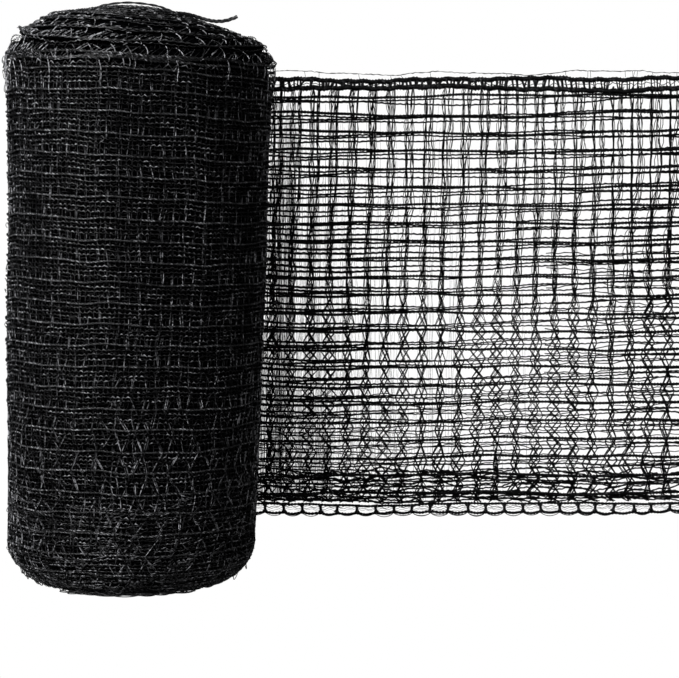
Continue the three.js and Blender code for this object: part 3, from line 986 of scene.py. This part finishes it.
def stray(rng):
    """Loops as arches or arcs, and short strands, each group with its own random places and sizes."""
    t = np.linspace(0, 1, 14)
    arch, slack = sin(pi * t), sin(pi * t) ** 0.7
    # Slack loops of the lowest edges, out on the floor, most of them in front
    front, around = 80, 40
    start = np.append(rng.uniform(222, 300, front), rng.uniform(0, 360, around))
    start = np.radians(start)[:, None]
    angle = start + np.radians(rng.uniform(9, 27, start.shape)) * t
    far = np.append(rng.uniform(7, 24, front), rng.uniform(2, 9, around))[:, None]
    reach = 82 + far * slack
    height = FLOOR_GAP + rng.uniform(0.2, 2.2, start.shape) * arch
    points = np.stack([reach * cos(angle), reach * sin(angle), height], -1)
    parts = [strands(points, rng.uniform(0.4, 0.75, start.shape), UP, 0.02)]
    # Slack loops that hang around the foot, most of them at the front left
    left, others = 50, 20
    u = np.append(rng.uniform(0.28, 0.5, left), rng.uniform(0.1, 0.9, others))[:, None] * TURN_LENGTH
    wide = rng.uniform(5, 12, u.shape)
    deep = rng.uniform(2, 7, u.shape)
    v = rng.uniform(-8, 12, u.shape) - deep * slack
    points = on_roll(u + wide * (2 * t - 1), v, 1.2 + rng.uniform(1, 4, u.shape) * slack)
    thick = rng.uniform(0.36, 0.5, u.shape)
    parts.append(strands(points, thick, UP, rng.uniform(0, 0.15, u.shape)))
    # The tangle of the foot: short strands that cross each other, more of them lower down
    tangle, ends = 800, t[::4]
    u = rng.uniform(0, ROLL_LENGTH, (tangle, 1))
    v = -12 + 110 * rng.random(u.shape) ** 1.4
    slant = rng.normal(0, 0.3, u.shape)
    span = rng.uniform(2.5, 7.5, u.shape) * (2 * ends - 1)
    bow = rng.normal(0, 0.8, u.shape) * sin(pi * ends)
    points = on_roll(u + span * cos(slant), np.maximum(v + span * sin(slant) + bow, -14),
                     1.3 + rng.uniform(0, 0.8, u.shape))
    parts.append(strands(points, 0.36, on_roll(u, v, 2) - on_roll(u, v, 1),
                         0.44 * rng.random(u.shape) ** 2))
    # Fuzz at the top edge on the left
    fuzz = 22
    u = rng.uniform(0.12, 0.32, (fuzz, 1)) * TURN_LENGTH
    v = rng.uniform(458, 486, u.shape)
    turn = rng.uniform(0, TAU, u.shape) + 1.6 * pi * t
    wide = rng.uniform(2.5, 5, u.shape)
    points = on_roll(u + wide * cos(turn), v + wide * sin(turn), 1.5 + 3.0 * arch)
    parts.append(strands(points, 0.4, UP, 0.15))
    # Short loops that stand off the outer turn all over
    short = 260
    u = rng.uniform(0, ROLL_LENGTH, (short, 1))
    v = rng.uniform(12, 484, u.shape)
    turn = rng.uniform(0, TAU, u.shape) + pi * t[::2]
    wide = rng.uniform(1.5, 3.5, u.shape)
    points = on_roll(u + wide * cos(turn), v + wide * sin(turn),
                     1.0 + rng.uniform(0.5, 2, u.shape) * arch[::2])
    parts.append(strands(points, 0.36, UP, rng.uniform(0, 0.22, u.shape)))
    # Filaments that hang from the selvedge, most of them on the left, lightened by painted highlights
    u = np.array([205, 210, 215, 221, 228, 236, 249, 263, 301, 352, 418, 470, 531])[:, None]
    top = rng.uniform(482, 489, u.shape)
    drop = rng.uniform(14, 34, u.shape)
    lean = rng.uniform(2, 9, u.shape)
    points = on_roll(u + lean * t + 1.2 * sin(5 * t), top - drop * t, 2.2 - 0.8 * t)
    parts.append(strands(points, 0.4, UP, rng.uniform(0.5, 1, u.shape)))
    return parts


class NETTING_OT_stray_loops(bpy.types.Operator):
    """Thin loops of filament that stand off the roll's edges"""
    bl_idname = "netting.stray_loops"
    bl_label = "Stray loops"

    def execute(self, context):
        rng = default_rng(context.scene.netting_sizes.seed + 400)
        piece("stray_loops", stray(rng), yarn_finish())
        return {"FINISHED"}


OPERATORS = (NETTING_OT_stage, NETTING_OT_selvedge_tail, NETTING_OT_loose_end, NETTING_OT_packed_turns,
             NETTING_OT_outer_turns, NETTING_OT_selvedge_coil, NETTING_OT_stray_loops)


class NETTING_PT_panel(bpy.types.Panel):
    """The pieces of the netting roll, and their sizes and finish"""
    bl_idname = "NETTING_PT_panel"
    bl_label = "Netting roll"
    bl_space_type = "VIEW_3D"
    bl_region_type = "UI"
    bl_category = "Netting"

    def draw(self, context):
        for operator in OPERATORS:
            self.layout.operator(operator.bl_idname)
        for group in (getattr(context.scene, name) for name in GROUPS):
            box = self.layout.box()
            for name in group.__annotations__:
                box.prop(group, name)


GROUPS = {"netting_sizes": NettingSizes, "netting_finish": NettingFinish, "netting_stage": NettingStage}
CLASSES = (*GROUPS.values(), *OPERATORS, NETTING_PT_panel)


def register():
    for item in CLASSES:
        bpy.utils.register_class(item)
    for name, group in GROUPS.items():
        setattr(bpy.types.Scene, name, PointerProperty(type=group))


def unregister():
    for name in GROUPS:
        delattr(bpy.types.Scene, name)
    for item in reversed(CLASSES):
        bpy.utils.unregister_class(item)


def main():
    register()
    bpy.ops.netting.stage()
    bpy.ops.netting.selvedge_tail()
    bpy.ops.netting.loose_end()
    bpy.ops.netting.packed_turns()
    bpy.ops.netting.outer_turns()
    bpy.ops.netting.selvedge_coil()
    bpy.ops.netting.stray_loops()


if __name__ == "__main__":
    main()
